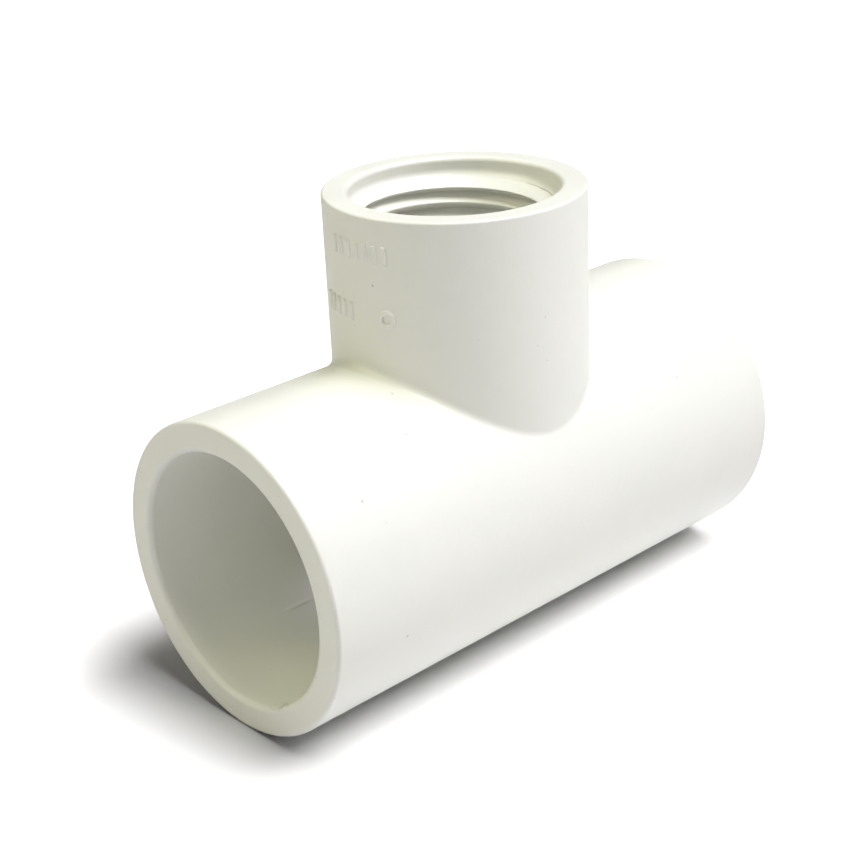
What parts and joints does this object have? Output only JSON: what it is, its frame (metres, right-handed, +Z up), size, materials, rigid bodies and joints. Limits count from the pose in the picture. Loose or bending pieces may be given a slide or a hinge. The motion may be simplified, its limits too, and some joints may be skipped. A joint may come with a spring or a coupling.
{
  "type": "reducing pipe tee",
  "caption": "White PVC reducing pipe tee with plain solvent-weld sockets on the run and a female taper pipe thread on the upright branch.",
  "frame": {"origin": "on the floor under the branch axis, midway between the run's two ends", "axes": "+X along the run, +Y across it, +Z up the branch and out of its threaded mouth"},
  "size_m": [0.0658, 0.0334, 0.0499],
  "materials": {
    "white_pvc": "semi-gloss moulded white"
  },
  "bodies": {
    "root": {"run_socket_left": "white_pvc", "run_socket_right": "white_pvc", "run_saddle": "white_pvc", "branch_hub": "white_pvc", "moulded_marks": "white_pvc"}
  },
  "joints": []
}
